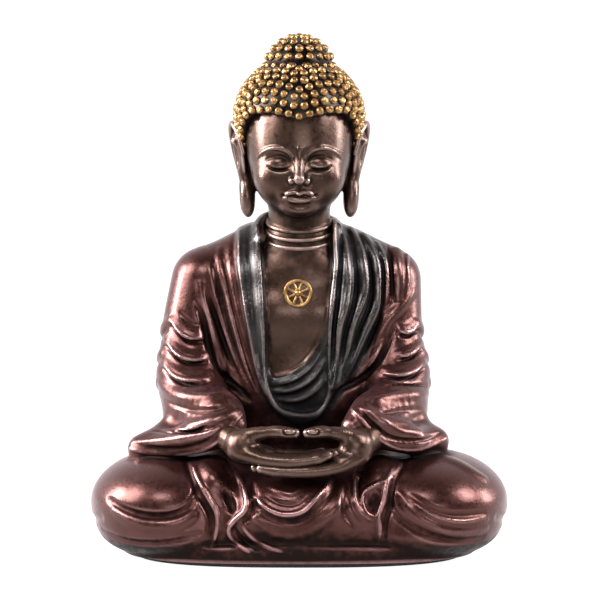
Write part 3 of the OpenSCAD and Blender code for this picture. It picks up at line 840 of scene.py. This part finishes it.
def make_curls(hair):
    rng = np.random.default_rng(7)
    shape, faces = curl_shape()
    all_points, all_faces, dimple = [], [], []
    for count, (p, n) in enumerate(curl_places(hair)):
        n = n / np.linalg.norm(n)
        side = np.cross(n, (0.3, 0.1, 1.0))
        side /= np.linalg.norm(side)
        up = np.cross(n, side)
        turn = rng.uniform(0, 2 * math.pi)
        size = CURL_R * rng.uniform(0.93, 1.08)
        c, s = math.cos(turn), math.sin(turn)
        a, b = c * side + s * up, -s * side + c * up
        all_points.append(p + size * (shape[:, :1] * a + shape[:, 1:2] * b + shape[:, 2:] * n))
        all_faces.append(faces + count * len(shape))
        dimple.append(np.clip(1.25 - 2.2 * np.hypot(shape[:, 0], shape[:, 1]), 0, 1) * (shape[:, 2] > 0))
    return np.vstack(all_points), np.vstack(all_faces), np.concatenate(dimple)


# ---------------------------------------------------------------- emblem

def make_emblem(body):
    """A gilded wheel with eight spokes, lying on the chest."""
    height, radius = 100.8, 4.9
    centre = body.land([(-0.5, height)], "front")[0]
    out = body.normal(centre[None])[0]
    out[0] = 0
    out /= np.linalg.norm(out)
    centre = centre + 0.35 * out
    across = np.array([1.0, 0, 0])
    up = np.cross(across, out)
    up = up if up[2] > 0 else -up
    clay = Clay(centre - 8, centre + 8, 0.16)
    spot = lambda r, a: centre + r * (math.cos(a) * across + math.sin(a) * up)
    rim = [spot(radius, 2 * math.pi * i / 48) for i in range(49)]
    clay.add(clay.tube(rim, 0.85, 1.5))
    for i in range(8):
        a = math.pi * (i + 0.5) / 4
        clay.add(clay.tube([centre, spot(radius, a)], [0.62, 0.5], 1.5), 0.3)
    clay.add(clay.tube([centre, centre + 0.25 * out], 1.35, 1.5), 0.3)
    return clay


# ---------------------------------------------------------------- how worn and how grimy each point is

def box_blur(a, radius, passes=2):
    for _ in range(passes):
        for axis in range(3):
            pad = [(radius + 1, radius) if k == axis else (0, 0) for k in range(3)]
            total = np.cumsum(np.pad(a, pad, mode="edge"), axis=axis, dtype=np.float32)
            size = total.shape[axis]
            high = np.take(total, np.arange(2 * radius + 1, size), axis=axis)
            low = np.take(total, np.arange(0, size - 2 * radius - 1), axis=axis)
            a = (high - low) / (2 * radius + 1)
    return a


def filled(clay):
    """How full of clay each cell is, from 0 to 1."""
    return np.clip(0.5 - clay.d / clay.step, 0, 1).astype(np.float32)


def shade_room(clays):
    """A coarse grid of how crowded the space is, for painted shade: broad darkening where parts crowd
    together and near the floor.
    """
    room = Clay((-86, -56, -2), (86, 56, 204), 1.6)
    x, y, z = np.meshgrid(*room.axes, indexing="ij")
    points = np.stack([x, y, z], -1)
    for clay in clays:
        high = clay.low + clay.step * (np.array(clay.shape) - 1)
        inside = np.all((points >= clay.low) & (points <= high), axis=-1)
        room.d[inside] = np.minimum(room.d[inside], clay.value(points[inside]))
    # painted shade near the floor: the floor counts as filled up to 4 mm high
    room.d = np.minimum(room.d, (z - 4).astype(np.float32))
    room.d = box_blur(filled(room), 3, 3)
    return room


def read_surface(clay, room, points):
    """Worn and darkened at each point: ridges catch the polishing cloth and fine hollows keep the dark wash;
    broad darkening where parts crowd together is painted shade.
    """
    fine = clay.copy()
    fine.d = box_blur(filled(clay), max(1, round(1.0 / clay.step)))
    close = fine.value(points)
    wide = room.value(points)
    worn = np.clip((0.47 - close) * 5.5, 0, 1)
    # fine hollows keep the dark wash; the broad part from the crowded room is painted shade
    wash_and_shade = np.clip((close - 0.52) * 4.5, 0, 1) + np.clip((wide - 0.52) * 2.6, 0, 1)
    return worn, np.clip(wash_and_shade, 0, 1)


def set_value(obj, name, values):
    layer = obj.data.attributes.new(name, "FLOAT", "POINT")
    layer.data.foreach_set("value", np.asarray(values, np.float32))


def vertices(obj):
    """The object's points, in drawing millimetres."""
    flat = np.zeros(len(obj.data.vertices) * 3, np.float32)
    obj.data.vertices.foreach_get("co", flat)
    return flat.reshape(-1, 3).astype(float) / UNIT


# ---------------------------------------------------------------- materials

def node(tree, kind, inputs=None, **settings):
    made = tree.nodes.new("ShaderNode" + kind)
    for key, value in settings.items():
        setattr(made, key, value)
    for key, value in (inputs or {}).items():
        if isinstance(value, bpy.types.NodeSocket):
            tree.links.new(value, made.inputs[key])
        else:
            made.inputs[key].default_value = value
    return made


def reading(tree, name):
    return node(tree, "Attribute", attribute_name=name).outputs["Fac"]


def noise(tree, size_mm, detail=3.0, stretch=(1, 1, 1)):
    """Noise from 0 to 1 whose lumps are about that size."""
    place = node(tree, "TexCoord").outputs["Object"]
    scaled = node(tree, "Mapping", {"Vector": place, "Scale": [s / (size_mm * UNIT) for s in stretch]})
    return node(tree, "TexNoise", {"Vector": scaled.outputs[0],
                                   "Scale": 1.0, "Detail": detail}).outputs["Fac"]


def between(tree, value, low, high, out_low=0.0, out_high=1.0):
    made = node(tree, "MapRange", {"Value": value, "From Min": low, "From Max": high, "To Min": out_low,
                                   "To Max": out_high}, interpolation_type="SMOOTHSTEP")
    return made.outputs[0]


def times(tree, a, b):
    return node(tree, "Math", {0: a, 1: b}, operation="MULTIPLY").outputs[0]


def blend(tree, factor, a, b):
    made = node(tree, "Mix", {0: factor, 6: rgba(a), 7: rgba(b)}, data_type="RGBA")
    return made.outputs[2]


def rgba(colour):
    return colour if isinstance(colour, bpy.types.NodeSocket) else (*colour, 1)


def new_material(name):
    made = bpy.data.materials.new(name)
    made.use_nodes = True
    tree = made.node_tree
    return made, tree, tree.nodes["Principled BSDF"]


def bump(tree, shader, height, depth_mm, strength=1.0):
    made = node(tree, "Bump", {"Height": height, "Distance": depth_mm * UNIT, "Strength": strength})
    tree.links.new(made.outputs[0], shader.inputs["Normal"])


def wash_shade_and_rub(tree, tone, dark_wash_and_shade, rub):
    """Dark wash in the hollows with painted shade where shade falls, then bright rubbed metal on the ridges.
    """
    wash_and_shade = reading(tree, "wash_and_shade")
    worn = reading(tree, "worn")
    mottle = between(tree, noise(tree, 3.5, 4), 0.3, 0.7, 0.7, 1.25)
    spread = times(tree, wash_and_shade, mottle)
    washed_and_shaded = blend(tree, between(tree, spread, 0.07, 0.85), tone, dark_wash_and_shade)
    patchy = times(tree, between(tree, worn, 0.12, 0.85), between(tree, noise(tree, 3.5, 3),
                                                                  0.25, 0.6, 0.5, 1))
    return blend(tree, patchy, washed_and_shaded, rub), spread


BRONZE_METALLIC = 0.88
COAT_ROUGHNESS = 0.24
SHINE_RANGE = (0.26, 0.37)


def bronze(name, tones, painted_sheen, coat=0.3):
    """Cold-cast bronze patina. tones maps an attribute to (tone, dark wash and painted shade, rub); "ground"
    comes first. A painted sheen colour is mixed in where the surface is seen edge on, less where the wash
    and shade lie."""
    made, tree, shader = new_material(name)
    colour = None
    for attribute, (tone, dark_wash_and_shade, rub) in tones.items():
        drift = between(tree, noise(tree, 16, 2), 0.35, 0.65)
        tone = blend(tree, drift, tone, (tone[0] * 0.85, tone[1] * 0.84, tone[2] * 0.76))
        painted, spread = wash_shade_and_rub(tree, tone, dark_wash_and_shade, rub)
        colour = painted if colour is None else blend(tree, reading(tree, attribute), colour, painted)
    # painted sheen: a tint towards the edges that are seen edge on
    facing = node(tree, "LayerWeight", {"Blend": 0.3}).outputs["Facing"]
    clean = node(tree, "Math", {0: 1.0, 1: spread}, operation="SUBTRACT").outputs[0]
    colour = blend(tree, times(tree, between(tree, facing, 0.2, 1.0, 0, 0.7), clean), colour, painted_sheen)
    tree.links.new(colour, shader.inputs["Base Color"])
    rough = node(tree, "Math", {0: between(tree, noise(tree, 1.6, 4), 0.3, 0.7, *SHINE_RANGE),
                                1: times(tree, spread, 0.25)}, operation="ADD").outputs[0]
    tree.links.new(rough, shader.inputs["Roughness"])
    shader.inputs["Metallic"].default_value = BRONZE_METALLIC
    tree.links.new(between(tree, spread, 0.0, 0.6, coat, 0.0), shader.inputs["Coat Weight"])
    shader.inputs["Coat Roughness"].default_value = COAT_ROUGHNESS
    grain = node(tree, "Math", {0: noise(tree, 0.9, 4), 1: times(tree, noise(tree, 4.5, 2), 2.0)},
                 operation="ADD")
    bump(tree, shader, grain.outputs[0], 0.08, 0.8)
    return made


def gilding(name):
    """Gold paint with painted shade at the foot of each piece, and copper in the dimples."""
    made, tree, shader = new_material(name)
    patch = between(tree, noise(tree, 5, 3), 0.35, 0.65)
    gold = blend(tree, patch, (0.46, 0.27, 0.11), (0.26, 0.145, 0.06))
    copper = blend(tree, reading(tree, "dimple"), gold, (0.24, 0.10, 0.035))
    foot = blend(tree, between(tree, reading(tree, "wash_and_shade"), 0.05, 0.9), copper, (0.05, 0.035, 0.03))
    tree.links.new(foot, shader.inputs["Base Color"])
    tree.links.new(between(tree, noise(tree, 1, 4), 0.3, 0.7, 0.26, 0.42), shader.inputs["Roughness"])
    shader.inputs["Metallic"].default_value = 0.95
    bump(tree, shader, noise(tree, 0.5, 3), 0.05)
    return made


def plain_finish(name, light, dark, size_mm, roughness, metallic=0.0, stretch=(1, 1, 1), depth_mm=0.05):
    """A finish for the parts inside and underneath: two mottled tones with a fine grain."""
    made, tree, shader = new_material(name)
    grain = noise(tree, size_mm, 6, stretch)
    tree.links.new(blend(tree, between(tree, grain, 0.3, 0.7), light, dark), shader.inputs["Base Color"])
    tree.links.new(between(tree, grain, 0.2, 0.8, roughness * 0.85, roughness), shader.inputs["Roughness"])
    shader.inputs["Metallic"].default_value = metallic
    bump(tree, shader, grain, depth_mm)
    return made


# Each finish: its own tone, the dark colour of wash and painted shade, and the rubbed colour of the ridges.
MAROON = ((0.080, 0.0265, 0.0228), (0.011, 0.005, 0.004), (0.33, 0.178, 0.172))
SLATE = ((0.032, 0.028, 0.029), (0.006, 0.005, 0.006), (0.165, 0.135, 0.13))
SKIN = ((0.078, 0.040, 0.029), (0.012, 0.006, 0.004), (0.30, 0.20, 0.17))
HAIR = ((0.014, 0.010, 0.010), (0.004, 0.004, 0.005), (0.10, 0.06, 0.03))
# Painted sheen colours, mixed in where a surface is seen edge on.
ROSE_PAINTED_SHEEN = (0.30, 0.125, 0.153)
PEARL_PAINTED_SHEEN = (0.20, 0.155, 0.16)
TAN_PAINTED_SHEEN = (0.19, 0.12, 0.105)


def make_materials():
    return {
        "robe": bronze("robe_bronze", {"ground": MAROON}, ROSE_PAINTED_SHEEN),
        "torso": bronze("collar_bronze", {"ground": MAROON, "cool": SLATE, "bare": SKIN}, PEARL_PAINTED_SHEEN),
        "skin": bronze("skin_bronze", {"ground": SKIN}, TAN_PAINTED_SHEEN),
        "hair": bronze("hair_dark", {"ground": HAIR}, (0.03, 0.022, 0.02), 0.1),
        "gilt": gilding("gilt"),
        "steel": plain_finish("steel", (0.62, 0.62, 0.63), (0.5, 0.5, 0.52), 0.8, 0.35, 1.0, (1, 1, 8)),
        "ballast": plain_finish("ballast", (0.66, 0.62, 0.55), (0.5, 0.47, 0.41), 2.0, 0.9, depth_mm=0.3),
        "board": plain_finish("board", (0.42, 0.28, 0.16), (0.3, 0.19, 0.1), 1.2, 0.7, 0, (1, 6, 6)),
        "felt": plain_finish("felt", (0.035, 0.035, 0.035), (0.012, 0.012, 0.012), 0.6, 0.95, depth_mm=0.25),
    }


# ---------------------------------------------------------------- studio

ELEVATION = 5.2
CAMERA_DISTANCE = 1.3
VIEW_WIDTH = 232.0
AIM = (0.3, 0, 97.2)

# Each soft light's place and size in metres, and its power in watts.
SOFTBOXES = {
    "key": ((-0.84, -0.30, 0.68), (0.36, 0.56), 12),
    "fill": ((0.84, -0.30, 0.70), (0.32, 0.50), 11),
    "front": ((-0.22, -0.80, 0.88), (0.40, 0.26), 5),
    "left_edge": ((-1.0, 0.06, 0.46), (0.26, 0.50), 24),
    "right_edge": ((1.0, 0.16, 0.36), (0.22, 0.40), 7),
    "low": ((0.15, -1.0, 0.25), (0.5, 0.25), 2),
}


def make_camera():
    data = bpy.data.cameras.new("camera")
    made = bpy.data.objects.new("camera", data)
    bpy.context.scene.collection.objects.link(made)
    bpy.context.scene.camera = made
    tilt = math.radians(ELEVATION)
    back = Vector((0, -math.cos(tilt), math.sin(tilt)))
    made.location = Vector(AIM) * UNIT + back * CAMERA_DISTANCE
    made.rotation_euler = (math.pi / 2 - tilt, 0, 0)
    data.lens = data.sensor_width * CAMERA_DISTANCE / (VIEW_WIDTH * UNIT)


def softbox(name, place, size, watts, aim=(0, 0, 0.09)):
    data = bpy.data.lights.new(name, "AREA")
    data.shape = "RECTANGLE"
    data.size, data.size_y = size
    data.energy = watts
    made = bpy.data.objects.new(name, data)
    made.location = place
    made.rotation_euler = (Vector(aim) - Vector(place)).to_track_quat("-Z", "Y").to_euler()
    bpy.context.scene.collection.objects.link(made)


def make_floor():
    """A dark grey studio floor that glows white as painted light under the statue and behind it, fading to
    dim over a band in front of it.
    """
    reach, sides = 60.0, 64
    turns = [2 * math.pi * i / sides for i in range(sides)]
    mesh = bpy.data.meshes.new("floor")
    mesh.from_pydata([(reach * math.cos(a), reach * math.sin(a), 0) for a in turns], [],
                     [tuple(range(sides))])
    made = bpy.data.objects.new("floor", mesh)
    bpy.context.scene.collection.objects.link(made)
    floor_glow_material, tree, shader = new_material("floor_glow")
    tree.links.new(blend(tree, noise(tree, 60, 2), (0.17, 0.17, 0.17), (0.18, 0.18, 0.18)),
                   shader.inputs["Base Color"])
    shader.inputs["Roughness"].default_value = 0.95
    shader.inputs["Emission Color"].default_value = (1, 1, 1, 1)
    depth = node(tree, "SeparateXYZ", {0: node(tree, "TexCoord").outputs["Object"]}).outputs[1]
    # painted light: the floor glows, fully from a little in front of the statue backwards
    tree.links.new(between(tree, depth, -0.22, -0.115, 0.0, 0.95), shader.inputs["Emission Strength"])
    mesh.materials.append(floor_glow_material)


def make_world():
    """A studio that is white behind the statue and dim behind the camera."""
    world = bpy.data.worlds.new("studio")
    bpy.context.scene.world = world
    world.use_nodes = True
    tree = world.node_tree
    ground = tree.nodes["Background"]
    ground.inputs["Color"].default_value = (1, 1, 1, 1)
    direction = node(tree, "SeparateXYZ", {0: node(tree, "TexCoord").outputs["Generated"]})
    level = between(tree, direction.outputs[1], -0.3, 0.5, 0.03, 1.05)
    tree.links.new(level, ground.inputs["Strength"])


def make_studio():
    make_camera()
    make_floor()
    make_world()
    for name, (place, size, watts) in SOFTBOXES.items():
        softbox(name, place, size, watts)
    bpy.context.scene.view_settings.view_transform = "Standard"


# ---------------------------------------------------------------- pieces

COOL_ZONE = [(-25, 138), (-24.4, 122), (-23.8, 110), (-22, 99), (-19.6, 86), (-16.4, 70), (-12.6, 60.5),
             (-7, 53), (0, 50), (9, 52), (15, 60), (21, 68), (26, 76), (31, 86), (35, 98), (36, 110),
             (32, 121), (26, 138)]


def robe_piece(body, forms, name):
    """One casting's share of the robe. It runs a little under its neighbours, so that no seam gapes."""
    own = forms[name]
    rival = np.minimum.reduce([d for other, d in forms.items() if other != name])
    border = (own - rival) / 2
    share = body.copy()
    tuck = np.clip((border + 0.3) / 0.6, 0, 1) * 0.2
    share.d = soft_max(body.d + tuck, border - 0.9, 0).astype(np.float32)
    return share


# Painted shade where shade falls: under the chin, round the hands, at the foot of the lap, under the belly,
# at the wrists and under the hems. Centre, size and how dark.
PAINTED_SHADE_SPOTS = (
    ((0, -6, 119), (17, 16, 18), 0.75),  # neck
    ((0, -30, 44), (26, 16, 12), 0.6),  # round the hands
    ((0, -40, 7), (60, 24, 16), 0.5),  # foot of the lap
    ((0, -14, 54), (36, 18, 15), 0.9),  # under the belly
    ((-24, -30, 48), (9, 12, 9), 0.6),  # right wrist
    ((-42, -18, 41.5), (24, 18, 4.5), 0.9),  # under the right hem
    ((24, -30, 48), (9, 12, 9), 0.6),  # left wrist
    ((42, -18, 41.5), (24, 18, 4.5), 0.9),  # under the left hem
)
UNDERSIDE_SHADE = 0.7


def painted_shade_at(points, centre, size, amount):
    """Painted shade, fading out from a centre."""
    away = np.linalg.norm((points - np.array(centre)) / np.array(size), axis=1)
    return amount * np.clip(1.0 - away, 0, 1) ** 0.7


def paint(obj, material, clay, room):
    obj.data.materials.append(material)
    points = vertices(obj)
    worn, wash_and_shade = read_surface(clay, room, points)
    # painted shade on surfaces that face downwards
    wash_and_shade += np.clip(-clay.normal(points)[:, 2] - 0.1, 0, 1) * UNDERSIDE_SHADE
    # painted shade at the listed spots
    for centre, size, amount in PAINTED_SHADE_SPOTS:
        wash_and_shade += painted_shade_at(points, centre, size, amount)
    set_value(obj, "worn", worn)
    set_value(obj, "wash_and_shade", np.clip(wash_and_shade, 0, 1))


def place(obj, *nodes):
    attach(obj, "root")
    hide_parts(*nodes)


def zone(clay, outline, points, soft):
    """1 inside a front outline and 0 outside, fading over the soft distance; 0 behind the shoulders."""
    flat = clay.copy()
    plane = flat_distance(clay, outline)
    flat.d = np.broadcast_to(plane[:, None, :], clay.shape)
    front = np.clip((16 - points[:, 1]) / 4, 0, 1)
    return np.clip(0.5 - flat.value(points) / soft, 0, 1) * front


def build():
    finishes = make_materials()
    body, forms = make_body()
    right, left = make_hands()
    head, hair = make_head(), make_hair()
    room = shade_room([body, right, left, head, hair])
    for node_name, piece_name in (("lap_casting", "lap_robe"), ("torso_casting", "torso_robe"),
                                  ("right_sleeve", "right_sleeve_cloth"),
                                  ("left_sleeve", "left_sleeve_cloth")):
        torso = node_name == "torso_casting"
        made = robe_piece(body, forms, node_name).mesh(piece_name,
                                                       "collar_bronze" if torso else "robe_bronze")
        paint(made, finishes["torso" if torso else "robe"], body, room)
        if torso:
            points = vertices(made)
            set_value(made, "cool", zone(body, COOL_ZONE, points, 2.5))
            set_value(made, "bare", zone(body, INNER_OPENING, points, 0.8))
        place(made, node_name)
    for clay, name, slot, look in ((right, "right_hand", "skin_bronze", "skin"),
                                   (left, "left_hand", "skin_bronze", "skin"),
                                   (head, "head_casting", "skin_bronze", "skin"),
                                   (hair, "hair_cap", "hair_dark", "hair")):
        made = clay.mesh(name + "_form", slot)
        paint(made, finishes[look], clay, room)
        place(made, name)
    points, faces, dimple = make_curls(hair)
    made = build_mesh("snail_curls", points, faces, "gilt")
    made.data.materials.append(finishes["gilt"])
    depth = hair.value(points)
    # painted shade where a curl sinks into the hair
    set_value(made, "wash_and_shade", np.clip(0.75 - depth / 1.0, 0, 1))
    set_value(made, "dimple", dimple)
    place(made, "hair_curls")
    made = make_emblem(body).mesh("wheel_emblem", "gilt")
    made.data.materials.append(finishes["gilt"])
    # painted shade where the wheel sits close to the chest
    set_value(made, "wash_and_shade", np.clip(0.8 - body.value(vertices(made)), 0, 1))
    place(made, "chest_emblem")
    for name, look in (("brow_bead", "skin"), ("neck_rod", "steel"), ("crown_peg", "steel"),
                       ("shoulder_dowels", "steel"), ("wrist_dowels", "steel"), ("waist_dowels", "steel"),
                       ("ballast_fill", "ballast"), ("closing_board", "board"), ("felt_pad", "felt")):
        for slot_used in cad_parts[name].material_slots:
            slot_used.material = finishes[look]


make_studio()
build()
